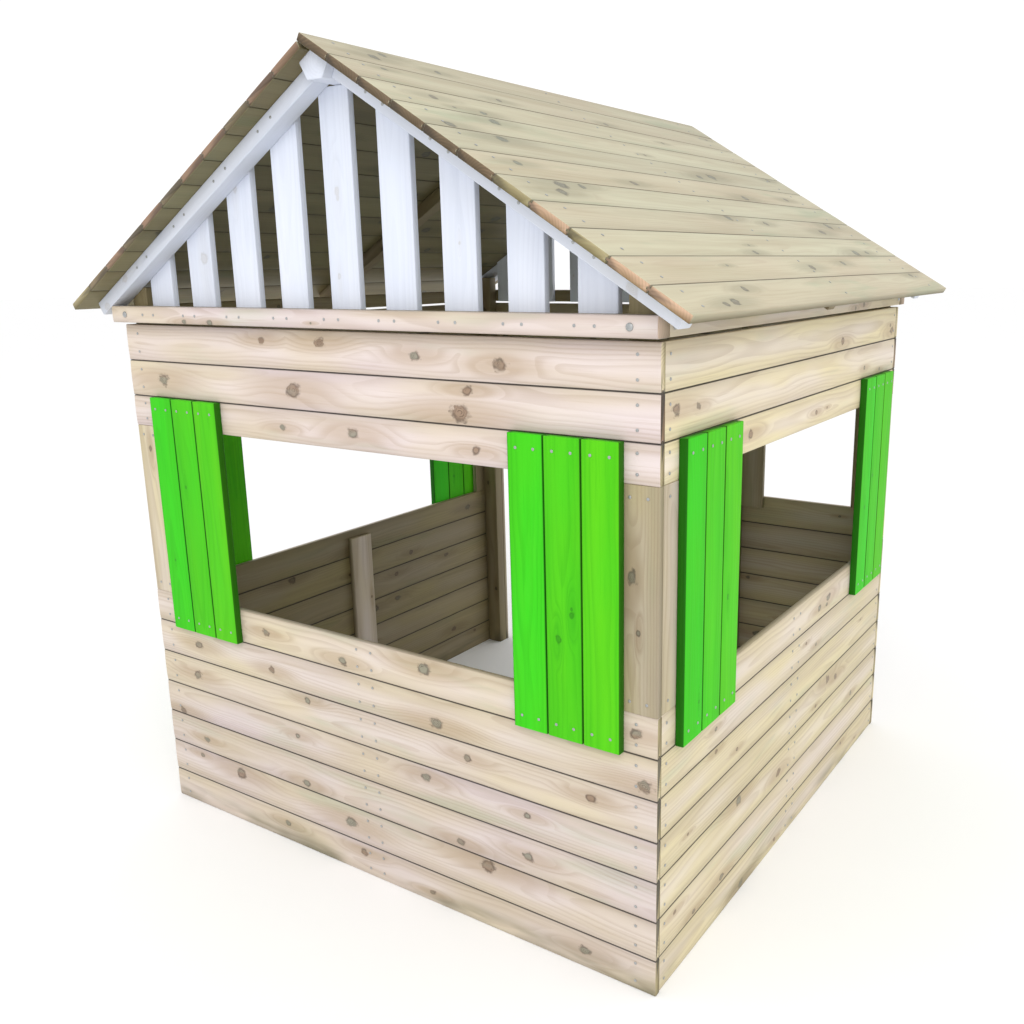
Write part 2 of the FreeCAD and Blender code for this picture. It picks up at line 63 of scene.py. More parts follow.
class Graph:
    # A material's nodes, with one short call for each kind that the finishes need.

    def __init__(self, name):
        self.material = bpy.data.materials.new(name)
        self.material.use_nodes = True
        self.tree = self.material.node_tree
        self.tree.nodes.clear()

    def add(self, kind, inputs=(), **settings):
        node = self.tree.nodes.new(kind)
        for key, value in settings.items():
            setattr(node, key, value)
        for socket, value in dict(inputs).items():
            if isinstance(value, bpy.types.NodeSocket):
                self.tree.links.new(value, node.inputs[socket])
            else:
                node.inputs[socket].default_value = value
        return node

    def math(self, operation, *values, clamp=False):
        node = self.add("ShaderNodeMath", enumerate(values), operation=operation)
        node.use_clamp = clamp
        return node.outputs[0]

    def vector(self, operation, *values):
        node = self.add("ShaderNodeVectorMath", operation=operation)
        for slot, value in enumerate(values):
            if isinstance(value, bpy.types.NodeSocket):
                self.tree.links.new(value, node.inputs[slot])
            else:
                node.inputs[slot].default_value = value
        return node.outputs["Value" if operation == "LENGTH" else "Vector"]

    def scale(self, vector, amount):
        node = self.add("ShaderNodeVectorMath", {0: vector, "Scale": amount}, operation="SCALE")
        return node.outputs[0]

    def attribute(self, name):
        return self.add("ShaderNodeAttribute", attribute_name=name)

    def parts(self, vector):
        return self.add("ShaderNodeSeparateXYZ", {0: vector}).outputs

    def noise(self, place, stretch, detail=2.0, roughness=0.5):
        spot = self.vector("MULTIPLY", place, stretch)
        return self.add("ShaderNodeTexNoise",
                        {"Vector": spot, "Scale": 1.0, "Detail": detail, "Roughness": roughness})

    def smooth(self, value, fromLow, fromHigh, toLow=0.0, toHigh=1.0):
        node = self.add("ShaderNodeMapRange",
                        {"Value": value, "From Min": fromLow, "From Max": fromHigh,
                         "To Min": toLow, "To Max": toHigh}, interpolation_type="SMOOTHSTEP")
        return node.outputs[0]

    def mix(self, factor, first, second, blend="MIX"):
        node = self.add("ShaderNodeMix", data_type="RGBA", blend_type=blend)
        for slot, value in ((0, factor), (6, first), (7, second)):
            if isinstance(value, bpy.types.NodeSocket):
                self.tree.links.new(value, node.inputs[slot])
            else:
                node.inputs[slot].default_value = (*value, 1.0) if slot else value
        return node.outputs[2]


def shade(red, green, blue):
    # Colour of a paint card, given in ordinary screen values, as the shader wants it.
    card = np.array((red, green, blue)) / 255.0
    return tuple(np.where(card <= 0.04045, card / 12.92, ((card + 0.055) / 1.055) ** 2.4))


knotNames = ("knotA", "knotB", "knotC", "knotD")


def woodMaterial(name, look):
    # Rings are the distance from a wandering pith line; knots are discs that push the rings aside.
    g = Graph(name)
    grain = g.attribute("grain").outputs["Vector"]
    tone = g.parts(g.attribute("tone").outputs["Vector"])
    share, stain, seam = g.parts(g.attribute("face").outputs["Vector"])

    drift = g.noise(grain, (1.3, 6.0, 6.0), 2.0).outputs["Color"]
    drift = g.vector("MULTIPLY", g.vector("SUBTRACT", drift, (0.5, 0.5, 0.5)),
                     (0.0, look["drift"], look["drift"]))
    wandering = g.vector("ADD", grain, drift)
    radius = g.vector("LENGTH", g.vector("MULTIPLY", wandering, (0.0, 1.0, 1.0)))

    # A knot's nearness is distance over radius, made ragged; its halo is drawn out with the grain.
    ragged = g.noise(grain, (55.0, 75.0, 75.0), 3.0, 0.6).outputs[0]
    nearest = None
    widest = None
    for knotName in knotNames:
        along, across, size = g.parts(g.attribute(knotName).outputs["Vector"])
        flat = g.add("ShaderNodeCombineXYZ", {0: g.math("MULTIPLY", along, 0.72), 1: across})
        long = g.add("ShaderNodeCombineXYZ", {0: g.math("MULTIPLY", along, 0.2), 1: across})
        disc = g.math("DIVIDE", g.vector("LENGTH", flat.outputs[0]), size)
        lens = g.math("DIVIDE", g.vector("LENGTH", long.outputs[0]), size)
        nearest = disc if nearest is None else g.math("MINIMUM", nearest, disc)
        widest = lens if widest is None else g.math("MINIMUM", widest, lens)
    nearest = g.math("MULTIPLY", nearest, g.math("MULTIPLY_ADD", ragged, 1.5, 0.25))
    core = g.smooth(nearest, 1.15, 0.8)
    rim = g.math("MULTIPLY", g.smooth(nearest, 0.55, 0.92), g.smooth(nearest, 1.5, 1.0))
    broken = g.noise(g.vector("ADD", grain, (1.3, 7.7, 5.1)), (40.0, 60.0, 60.0), 1.0).outputs[0]
    rim = g.math("MULTIPLY", rim, g.smooth(broken, 0.36, 0.6, 0.15, 1.0))
    innerRings = g.smooth(g.math("FRACT", g.math("MULTIPLY", nearest, 3.2)), 0.4, 0.9)
    eye = g.math("MULTIPLY", core, g.math("MULTIPLY", innerRings, g.smooth(broken, 0.62, 0.4)))
    halo = g.smooth(widest, 3.4, 0.9)

    # Each ring is pale early wood that darkens slowly and stops sharply at a thin late line.
    pushed = g.math("MULTIPLY_ADD", halo, look["push"], radius)
    phase = g.math("FRACT", g.math("DIVIDE", pushed, look["ringWidth"]))
    late = g.math("MULTIPLY", g.smooth(phase, 0.35, 0.86), g.smooth(phase, 1.0, 0.93))
    patchy = g.noise(grain, (2.2, 25.0, 25.0), 2.0).outputs[0]
    late = g.math("MULTIPLY", late, g.smooth(patchy, 0.25, 0.7, 0.25, 1.0))
    streak = g.noise(grain, (5.0, 260.0, 260.0), 4.0, 0.62).outputs[0]
    band = g.noise(grain, (1.4, 22.0, 22.0), 3.0, 0.55).outputs[0]
    blush = g.noise(g.vector("ADD", grain, (3.7, 1.9, 0.4)), (2.1, 7.0, 7.0), 2.0).outputs[0]
    moss = g.noise(g.vector("ADD", grain, (9.1, 4.3, 2.2)), (2.6, 14.0, 14.0), 3.0).outputs[0]

    # Colours are laid on from broad tints to fine lines, and then the knots.
    warmth = g.math("ADD", tone[1], g.math("MULTIPLY_ADD", blush, 1.6, -0.8), clamp=True)
    colour = g.mix(warmth, look["pale"], look["warm"])
    colour = g.mix(g.smooth(band, 0.35, 0.75, 0.0, look["bandAmount"]), colour, look["band"])
    colour = g.mix(g.smooth(moss, 0.56, 0.74, 0.0, look["mossAmount"]), colour, look["moss"])
    offCentre = g.math("ABSOLUTE", g.math("MULTIPLY_ADD", share, 2.0, -1.0))
    # A painted sheen: a pale band along each board's middle, in patches.
    paintedSheen = g.math("MULTIPLY", g.smooth(offCentre, 0.75, 0.1), g.smooth(blush, 0.35, 0.6))
    colour = g.mix(g.math("MULTIPLY", paintedSheen, look["sheenAmount"]), colour, look["sap"])
    colour = g.mix(g.math("MULTIPLY", late, look["ringAmount"]), colour, look["line"])
    colour = g.mix(g.smooth(streak, 0.52, 0.8, 0.0, look["streakAmount"]), colour, look["line"])
    colour = g.mix(g.math("MULTIPLY", halo, look["haloAmount"]), colour, look["halo"])
    knotColour = g.mix(g.smooth(moss, 0.42, 0.56), look["knot"], look["knotGreen"])
    colour = g.mix(g.math("MULTIPLY", core, look["knotAmount"]), colour, knotColour)
    colour = g.mix(g.math("MULTIPLY", g.math("MAXIMUM", rim, eye), look["rimAmount"]), colour,
                   look["rim"])

    # Damp timber near the ground is darker and a little green, in patches.
    height = g.parts(g.add("ShaderNodeTexCoord").outputs["Object"])[2]
    damp = g.math("MULTIPLY", g.smooth(height, 0.07, 0.0), g.smooth(moss, 0.4, 0.62))
    colour = g.mix(g.math("MULTIPLY", damp, look["dampAmount"]), colour, look["damp"])

    # Sawn ends have a tint given board by board; on the roof these tints hold painted shade.
    cut = g.attribute("cut").outputs["Fac"]
    sawn = g.mix(g.math("MULTIPLY_ADD", late, 0.35, 0.1), g.attribute("cutTint").outputs["Color"],
                 look["line"])
    colour = g.mix(g.math("MULTIPLY", cut, look["cutAmount"]), colour, sawn)
    # Inner faces are darkened as painted shade, with some rough-sawn darkening.
    colour = g.mix(stain, colour, look["stain"], blend="MULTIPLY")
    # An outer face gets painted shade towards its edges and a painted sheen along its middle, and
    # is darker at seams.
    shadeAndSheen = g.math("MULTIPLY_ADD", g.math("POWER", offCentre, 3.0), -look["edgeShadeAndSheen"],
                    1.0 + 0.3 * look["edgeShadeAndSheen"])
    shadeAndSheen = g.math("MULTIPLY", shadeAndSheen, g.smooth(seam, 0.15, 0.75, 1.0, look["seamShade"]))
    lightness = g.math("MULTIPLY_ADD", tone[0], look["boardSpread"], 1.0)
    lightness = g.math("MULTIPLY", lightness, shadeAndSheen)
    lightness = g.math("MULTIPLY", lightness, g.math("MULTIPLY_ADD", streak, 0.12, 0.94))
    colour = g.scale(colour, lightness)

    # Late wood and fibres stand proud, the rims of knots are sunk, and knots are smoother.
    relief = g.math("MULTIPLY_ADD", late, look["ringRelief"],
                    g.math("MULTIPLY", streak, look["streakRelief"]))
    relief = g.math("SUBTRACT", relief, g.math("MULTIPLY", rim, look["knotRelief"]))
    bump = g.add("ShaderNodeBump", {"Height": relief, "Strength": look["bump"],
                                    "Distance": look["bumpDepth"]})
    rough = g.math("MULTIPLY_ADD", streak, 0.22, look["roughness"] - 0.11)
    rough = g.math("SUBTRACT", rough, g.math("MULTIPLY", core, 0.1), clamp=True)
    surface = g.add("ShaderNodeBsdfPrincipled", {
        "Base Color": colour, "Roughness": rough, "Normal": bump.outputs[0],
        "Specular IOR Level": look["specular"],
    })
    g.add("ShaderNodeOutputMaterial", {"Surface": surface.outputs[0]})
    return g.material


# In each look, the colour that multiplies darkened faces is painted shade with some rough-sawn
# darkening, the pale middle colour and its amount draw a painted sheen, and the edge amount sets
# painted shade at board edges and a painted sheen along the middle.
wallLook = {
    "pale": shade(216, 203, 164), "warm": shade(203, 188, 186), "band": shade(184, 168, 144),
    "sap": shade(222, 212, 210), "sheenAmount": 0.4, "seamShade": 0.2,
    "moss": shade(170, 178, 150), "line": shade(146, 120, 92), "halo": shade(166, 142, 112),
    "knot": shade(124, 96, 72), "knotGreen": shade(118, 122, 106), "rim": shade(70, 54, 42),
    "stain": (0.38, 0.36, 0.25), "damp": shade(112, 106, 80),
    "drift": 0.05, "push": 0.012, "ringWidth": 0.0065,
    "bandAmount": 0.55, "mossAmount": 0.4, "ringAmount": 0.24, "streakAmount": 0.3,
    "haloAmount": 0.5, "knotAmount": 0.7, "rimAmount": 0.6, "cutAmount": 0.9,
    "dampAmount": 0.8, "edgeShadeAndSheen": 0.16,
    "boardSpread": 0.06, "roughness": 0.52, "specular": 0.4,
    "ringRelief": 0.5, "streakRelief": 0.7, "knotRelief": 0.5, "bump": 0.5, "bumpDepth": 0.0006,
}
roofLook = dict(wallLook, pale=shade(190, 186, 158), warm=shade(184, 170, 144),
                band=shade(162, 150, 120), moss=shade(158, 166, 136), halo=shade(140, 134, 108),
                knot=shade(96, 88, 68), knotGreen=shade(98, 106, 88), rim=shade(60, 56, 42),
                mossAmount=0.6, ringAmount=0.16, edgeShadeAndSheen=0.1, boardSpread=0.1, dampAmount=0.0,
                sheenAmount=0.0, seamShade=0.45)
whiteLook = dict(wallLook, pale=shade(226, 230, 240), warm=shade(216, 222, 236),
                 band=shade(206, 212, 226), moss=shade(212, 216, 222), line=shade(178, 184, 200),
                 halo=shade(206, 206, 206), knot=shade(186, 180, 172), rim=shade(168, 164, 160),
                 knotGreen=shade(186, 180, 172), stain=(0.9, 0.92, 0.95),
                 mossAmount=0.1, ringAmount=0.12, streakAmount=0.14, haloAmount=0.2,
                 knotAmount=0.3, rimAmount=0.25, cutAmount=0.0, boardSpread=0.02,
                 dampAmount=0.0, edgeShadeAndSheen=0.02, roughness=0.5, sheenAmount=0.0)
greenLook = dict(wallLook, pale=shade(58, 200, 26), warm=shade(88, 196, 18),
                 band=shade(60, 180, 16), moss=shade(84, 204, 40), line=shade(34, 140, 8),
                 halo=shade(48, 160, 20), knot=shade(34, 120, 14), rim=shade(26, 90, 10),
                 knotGreen=shade(34, 120, 14), stain=(0.6, 0.6, 0.6),
                 mossAmount=0.3, ringAmount=0.2, streakAmount=0.3, haloAmount=0.3,
                 knotAmount=0.5, rimAmount=0.4, cutAmount=0.0, boardSpread=0.03,
                 dampAmount=0.0, edgeShadeAndSheen=0.05, roughness=0.55, specular=0.12,
                 sheenAmount=0.0, seamShade=0.25)
finishes = {
    "treated_pine": woodMaterial("treatedPine", wallLook),
    "roof_pine": woodMaterial("roofPine", roofLook),
    "white_painted_wood": woodMaterial("whitePaintedWood", whiteLook),
    "green_painted_wood": woodMaterial("greenPaintedWood", greenLook),
}


def metalMaterial(name, look):
    # Dull zinc: soft blotches of lightness and a faint hammered relief.
    g = Graph(name)
    place = g.add("ShaderNodeTexCoord").outputs["Object"]
    spangle = g.noise(place, (420.0, 420.0, 420.0), 2.0).outputs[0]
    colour = g.mix(spangle, look["dark"], look["bright"])
    bump = g.add("ShaderNodeBump", {"Height": spangle, "Strength": 0.3, "Distance": 0.0002})
    surface = g.add("ShaderNodeBsdfPrincipled", {
        "Base Color": colour, "Metallic": look["metallic"],
        "Roughness": g.math("MULTIPLY_ADD", spangle, 0.25, look["roughness"]),
        "Normal": bump.outputs[0],
    })
    g.add("ShaderNodeOutputMaterial", {"Surface": surface.outputs[0]})
    return g.material


zincLook = {"dark": shade(140, 142, 142), "bright": shade(196, 198, 198),
            "metallic": 0.8, "roughness": 0.35}
finishes["galvanised_steel"] = metalMaterial("galvanisedSteel", zincLook)
print("finishes made:", len(finishes))


# Boards

boardShape = {
    "rounding": 0.0024,     # radius of the long edges
    "crown": 0.0014,        # how far the outer face swells in its middle
    "endBevel": 0.0009,     # small bevel round a sawn end
    "tongueLength": 0.006,
    "tongueNear": 0.007,    # tongue's two faces, from the outer face
    "tongueFar": 0.012,
    "grooveRoom": 0.0003,   # how much larger a groove is than its tongue, all round
    "bow": 0.0003,          # how far a board wanders in and out along its length
    "bowWaves": 0.8,        # waves of that wandering in one board
    "stations": 9,          # outlines along a board
}
quarterAngles = np.radians(np.linspace(0.0, 90.0, 4))
faceShares = np.array((0.06, 0.25, 0.5, 0.75, 0.94))    # places across a face, as shares
sharpAngle = np.radians(38)    # edges sharper than this stay crisp in the shading


def board(start, across, out, length, width, thickness, **more):
    # A board runs along, its width goes across, and its outer face looks out.
    item = {
        "start": np.array(start, float), "along": np.cross(across, out),
        "across": np.array(across, float), "out": np.array(out, float),
        "length": length, "width": width, "thickness": thickness,
        "endSlope": 0.0, "tongue": False, "groove": False,
        # Two amounts darken the whole board and its back: painted shade, with some rough-sawn
        # darkening.
        "knots": None, "warmth": 0.5, "lift": None, "stain": 0.0, "backStain": 0.0,
        "lowSeam": False, "highSeam": False,
        "cutTint": shade(206, 186, 150),
    }
    item.update(more)
    return item


def boxBoard(low, high, across, out, **more):
    # A board that fills a box whose sides follow the axes.
    across, out = np.array(across, float), np.array(out, float)
    along = np.cross(across, out)
    span = high - low
    start = np.where(along + across - out > 0, low, high)
    return board(start, across, out, abs(along @ span), abs(across @ span), abs(out @ span), **more)


def quarterRound(centreB, centreC, radius, turn):
    # Quarter circle about a centre, from the angle turn to 90 degrees more.
    angle = quarterAngles + np.radians(turn)
    return centreB + radius * np.cos(angle), centreC + radius * np.sin(angle)


def boardOutline(width, thickness, shape, tongue, groove):
    # Rounded rectangle with a swollen outer face: b goes across and c goes out from 0 inwards.
    # The swell is the crown times one minus the square of the distance from the middle.
    r = shape["rounding"]
    edge = -shape["crown"]
    one = np.ones_like(width)
    near, far = -shape["tongueNear"] * one, -shape["tongueFar"] * one
    tip = shape["tongueLength"]
    runs = [quarterRound(r * one, -thickness + r, r, 180),
            (width * faceShares[1:4], -thickness * np.ones(3)),
            quarterRound(width - r, -thickness + r, r, 270)]
    if tongue:
        runs.append((np.hstack((width, width + tip, width + tip, width)),
                     np.hstack((far, far, near, near))))
    runs.append(quarterRound(width - r, (edge - r) * one, r, 0))
    shares = faceShares[::-1]
    swell = shape["crown"] * (1 - (2 * shares - 1) ** 2) + edge
    runs.append((width * shares, one * swell))
    runs.append(quarterRound(r * one, (edge - r) * one, r, 90))
    if groove:
        room = shape["grooveRoom"]
        depth = tip + room
        runs.append((np.hstack((0 * one, depth * one, depth * one, 0 * one)),
                     np.hstack((near + room, near + room, far - room, far - room))))
    return np.hstack([b for b, c in runs]), np.hstack([c for b, c in runs])


def knotTable(item, random, style):
    # Four knots for each board: distance along, distance across, and radius. A knot that isn't
    # wanted lies far off the board's end.
    table = np.tile((-20.0, 0.0, 0.001), (4, 1))
    if item["knots"] is not None:
        for slot, (along, across, size) in enumerate(item["knots"][:4]):
            table[slot] = (along, across * item["width"], size)
        return table
    count = random.binomial(4, style["knotChance"] * min(1.0, item["length"] / 1.4))
    for slot in range(count):
        table[slot] = (random.uniform(0.03, item["length"] - 0.03),
                       random.uniform(0.12, 0.88) * item["width"],
                       random.uniform(*style["knotSize"]) * random.choice((0.6, 1.0, 1.0)))
    return table


def sweepBoards(boards, shape, style, random):
    # Each outline is carried along its board; the far end may slope across the width.
    # The bow is one slow cosine wave along the board, with a phase of its own.
    def column(key):
        return np.array([item[key] for item in boards], float)

    count = len(boards)
    length = column("length")[:, None]
    width = column("width")[:, None]
    thickness = column("thickness")[:, None]
    outlineB, outlineC = boardOutline(width, thickness, shape,
                                      boards[0]["tongue"], boards[0]["groove"])
    points = outlineB.shape[1]
    bevel = shape["endBevel"]
    reach = length + column("endSlope")[:, None] * outlineB
    inner = np.linspace(0.0, 1.0, shape["stations"] - 2)
    distance = bevel + (reach[:, None, :] - 2 * bevel) * inner[None, :, None]
    distance = np.concatenate((np.zeros((count, 1, points)), distance, reach[:, None, :]), axis=1)
    stations = distance.shape[1]
    shrink = np.zeros(stations)
    shrink[[0, -1]] = bevel
    shrink = shrink[None, :, None]
    # The two end outlines shrink towards the middle by the bevel.
    placeB = outlineB[:, None, :] + (width[:, None, :] / 2 - outlineB[:, None, :]) \
        * 2 * shrink / width[:, None, :]
    placeC = outlineC[:, None, :] - (thickness[:, None, :] / 2 + outlineC[:, None, :]) \
        * 2 * shrink / thickness[:, None, :]
    phase = random.uniform(0, 2 * np.pi, (count, 1, 1))
    wave = np.cos(2 * np.pi * distance / length[:, None, :] * shape["bowWaves"] + phase)
    sunk = -shape["bow"] * (1 - wave) / 2

    def axis(key):
        return column(key)[:, None, None, :]

    place = axis("start") + axis("along") * distance[..., None] \
        + axis("across") * placeB[..., None] + axis("out") * (placeC + sunk)[..., None]

    # Faces of one board, then the same for all of them with their own first vertex.
    ring = np.arange(points)
    nextRing = np.roll(ring, -1)
    row = (np.arange(stations - 1) * points)[:, None]
    side = np.stack((row + ring, row + nextRing, row + points + nextRing, row + points + ring),
                    axis=-1).reshape(-1, 4)
    first = (np.arange(count) * stations * points)[:, None, None]
    sides = (side[None] + first).reshape(-1, 4)
    caps = np.concatenate((ring[::-1][None], (stations - 1) * points + ring[None]))
    caps = (caps[None] + first).reshape(-1, points)

    # Grain is measured along the board, and across and out from a pith behind its back.
    pithB = random.uniform(0.1, 0.9, (count, 1, 1)) * width[:, None, :]
    pithC = -thickness[:, None, :] - random.uniform(*style["pithDepth"], (count, 1, 1))
    grain = np.stack((distance + random.uniform(0, 40, (count, 1, 1)),
                      placeB - pithB, placeC - pithC), axis=-1)
    knots = np.array([knotTable(item, random, style) for item in boards])
    spots = []
    for slot in range(4):
        spot = knots[:, slot][:, None, None, :]
        spots.append(np.stack((distance - spot[..., 0], placeB - spot[..., 1],
                               spot[..., 2] * np.ones_like(placeB)), axis=-1))
    full = np.ones((count, stations, points, 1))
    lift = random.uniform(-1, 1, count)
    given = [item["lift"] for item in boards]
    lift = np.array([chance if own is None else own for chance, own in zip(lift, given)])
    warmth = column("warmth") + random.uniform(-1, 1, count) * style["warmthSpread"]
    tone = np.stack((lift, warmth, random.uniform(0, 1, count)), axis=-1)    # the last is spare
    # Darkening lies on the whole board, or on its back, the last third of its thickness: painted
    # shade, with some rough-sawn darkening.
    behind = np.clip(-outlineC / thickness * 4 - 2.6, 0.0, 1.0)
    stain = np.maximum(column("stain")[:, None], column("backStain")[:, None] * behind)
    share = np.clip(outlineB / width, 0.0, 1.0)
    # A seam fades out over a little more than the rounded edge beside a neighbouring board.
    fade = 1.3 * shape["rounding"]
    seam = np.maximum(column("lowSeam")[:, None] * np.clip(1 - outlineB / fade, 0, 1),
                      column("highSeam")[:, None] * np.clip(1 - (width - outlineB) / fade, 0, 1))
    surface = np.stack((share, stain, seam), axis=-1)[:, None, :, :] * full
    fields = {"grain": grain, "tone": tone[:, None, None, :] * full, "face": surface,
              "cutTint": column("cutTint")[:, None, None, :] * full}
    fields.update(zip(knotNames, spots))
    fields = {key: value.reshape(-1, 3) for key, value in fields.items()}
    return place.reshape(-1, 3), sides, caps, fields


def meshPiece(name, vertices, faces, slot, nodes, fields, cutMarks):
    # One closed mesh, its patterns' attributes, and what it rides on and stands for.
    mesh = bpy.data.meshes.new(name)
    mesh.from_pydata(vertices, [], faces)
    mesh.polygons.foreach_set("use_smooth", np.ones(len(faces), bool))
    mesh.set_sharp_from_angle(angle=sharpAngle)
    for key, values in fields.items():
        layer = mesh.attributes.new(key, "FLOAT_VECTOR", "POINT")
        layer.data.foreach_set("vector", np.ascontiguousarray(values, np.float32).ravel())
    if cutMarks is not None:
        layer = mesh.attributes.new("cut", "FLOAT", "FACE")
        layer.data.foreach_set("value", np.array(cutMarks, np.float32))
    mesh.materials.append(finishes[slot])
    mesh.update()
    piece = bpy.data.objects.new(name, mesh)
    bpy.context.scene.collection.objects.link(piece)
    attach(piece, "root")
    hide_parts(*nodes)


plainStyle = {"knotChance": 0.8, "knotSize": (0.004, 0.01), "pithDepth": (0.004, 0.05),
              "warmthSpread": 0.18}


def boardPiece(name, boards, slot, nodes, seed, shape=boardShape, style=plainStyle):
    # Boards with and without a tongue or a groove have different outlines, so they go in groups.
    random = np.random.default_rng(seed)
    kinds = sorted({(item["tongue"], item["groove"]) for item in boards})
    vertices, faces, marks, fields = [], [], [], {}
    count = 0
    for kind in kinds:
        group = [item for item in boards if (item["tongue"], item["groove"]) == kind]
        place, sides, caps, values = sweepBoards(group, shape, style, random)
        faces += (sides + count).tolist() + (caps + count).tolist()
        marks += [0.0] * len(sides) + [1.0] * len(caps)
        vertices.append(place)
        count += len(place)
        for key, value in values.items():
            fields.setdefault(key, []).append(value)
    fields = {key: np.concatenate(value) for key, value in fields.items()}
    meshPiece(name, np.concatenate(vertices), faces, slot, nodes, fields, marks)


# Walls

walls = {
    "pitch": 0.095,          # cover width of a board
    "groundBoard": 0.088,    # lowest board
    "headBoard": 0.083,      # lowest board over the windows
    "gap": 0.0006,           # open joint between two boards
    "shortest": 0.02,        # a top board narrower than this joins the one below
    "warmth": {"front": 0.65, "right": 0.05, "back": 0.3, "left": 0.35},
    "headWarmth": {"front": 0.9, "right": 0.05, "back": 0.3, "left": 0.35},
    "headLift": {"front": 1.0, "right": 1.8, "back": 0.0, "left": 0.0},
    # How dark each wall's inner faces are made: painted shade, with some rough-sawn darkening.
    "backStain": {"front": 1.0, "right": 1.0, "back": 0.75, "left": 1.0},
}
# Larger knots of the front, board by board from the ground: along, share of width, radius
frontKnots = [
    ((0.48, 0.6, 0.007), (0.77, 0.7, 0.008), (1.0, 0.3, 0.006), (1.45, 0.5, 0.009)),
    ((0.13, 0.8, 0.006), (0.3, 0.7, 0.013), (0.73, 0.5, 0.013), (1.18, 0.8, 0.014)),
    ((0.16, 0.4, 0.007), (0.57, 0.2, 0.009), (1.1, 0.2, 0.008), (1.3, 0.5, 0.009)),
    ((0.06, 0.1, 0.01), (0.55, 0.6, 0.006), (1.0, 0.7, 0.009), (1.3, 0.6, 0.006)),
    ((0.15, 0.5, 0.01), (0.6, 0.8, 0.007), (1.13, 0.6, 0.008), (1.47, 0.6, 0.008)),
    ((0.17, 0.5, 0.009), (0.47, 0.4, 0.008), (1.04, 0.3, 0.012), (1.6, 0.3, 0.012)),
    ((0.46, 0.5, 0.008), (0.74, 0.3, 0.009), (1.01, 0.7, 0.012), (1.58, 0.5, 0.009)),
]
headKnots = [
    ((0.59, 0.45, 0.007), (0.83, 0.5, 0.011), (1.19, 0.4, 0.007)),
    ((0.14, 0.5, 0.013), (0.64, 0.5, 0.015), (1.15, 0.3, 0.015), (1.17, 0.8, 0.008)),
    ((0.54, 0.7, 0.008), (0.74, 0.7, 0.01), (1.03, 0.5, 0.009), (1.26, 0.4, 0.01)),
]


def wallStack(node, side, firstBoard, warmth, ends, knots, lift=None):
    # Boards one over the other between the node's bottom and top.
    low, high = nodeBox(node)
    joints = [low[2]] + list(np.arange(low[2] + firstBoard, high[2] - walls["shortest"],
                                        walls["pitch"]))
    joints.append(high[2])
    boards = []
    for number, (bottom, top) in enumerate(zip(joints, joints[1:])):
        last = number == len(joints) - 2
        boards.append(boxBoard(
            np.array((low[0], low[1], bottom)),
            np.array((high[0], high[1], top - (0 if last else walls["gap"]))),
            upward, facing[side], tongue=not last, groove=number > 0, warmth=warmth,
            cutTint=ends[number % len(ends)], backStain=walls["backStain"][side], lift=lift,
            knots=knots[number] if knots else None, lowSeam=number > 0, highSeam=not last))
    return boards


creamEnd = shade(226, 212, 172)
brownEnd = shade(128, 96, 58)
oliveEnd = shade(168, 156, 112)
for number, side in enumerate(facing):
    lower = f"{side}_lower_cladding"
    head = f"{side}_head_cladding"
    boardPiece(f"{side}WallBoards",
               wallStack(lower, side, walls["groundBoard"], walls["warmth"][side],
                         (oliveEnd, creamEnd), frontKnots if side == "front" else None),
               "treated_pine", [lower], 10 + number)
    boardPiece(f"{side}HeadBoards",
               wallStack(head, side, walls["headBoard"], walls["headWarmth"][side],
                         (oliveEnd, brownEnd, creamEnd), headKnots if side == "front" else None,
                         walls["headLift"][side]),
               "treated_pine", [head], 20 + number)
print("wall boards made")

# Upright boards and posts, each from its node's own box
uprights = {
    "front_trim_left": ("front", 0.2), "front_trim_right": ("front", 0.65),
    "right_trim_front": ("right", 0.4), "right_trim_back": ("right", 0.15),
    "left_trim_front": ("left", 0.1), "left_trim_back": ("left", 0.1),
    "back_trim_right": ("back", 0.1), "back_corner_board": ("back", 0.1),
    "door_trim": ("front", 0.8),
    "front_batten": ("back", 0.45), "left_batten": ("right", 0.1), "right_batten": ("left", 0.45),
    "corner_post_front_left": ("back", 0.8), "corner_post_front_right": ("back", 0.8),
    "corner_post_back_left": ("front", 1.0), "corner_post_back_right": ("front", 0.9),
    "door_post": ("front", 0.9),
}    # the way each faces, and how much darker it is made: painted shade for the posts, battens and door pieces inside


def pieceName(node):
    # Name of the piece that stands for a node: its words run together.
    first, *rest = node.split("_")
    return first + "".join(word.capitalize() for word in rest)


for number, (node, (side, stain)) in enumerate(uprights.items()):
    out = facing[side]
    low, high = nodeBox(node)
    item = boxBoard(low, high, np.cross(out, upward), out, warmth=0.3, stain=stain,
                    backStain=1.0)
    boardPiece(pieceName(node), [item], "treated_pine", [node], 40 + number)
print("uprights made:", len(uprights))

# Base frame of the roof, its back faces darkened as painted shade
beams = {"front_base_beam": ("front", 0.95), "back_base_beam": ("back", 0.4),
         "left_eave_plate": ("left", 0.3), "right_eave_plate": ("right", 0.2)}
for number, (node, (side, warmth)) in enumerate(beams.items()):
    low, high = nodeBox(node)
    item = boxBoard(low, high, upward, facing[side], warmth=warmth,
                    backStain=1.0, cutTint=shade(206, 180, 156))
    boardPiece(pieceName(node), [item], "treated_pine", [node], 70 + number)

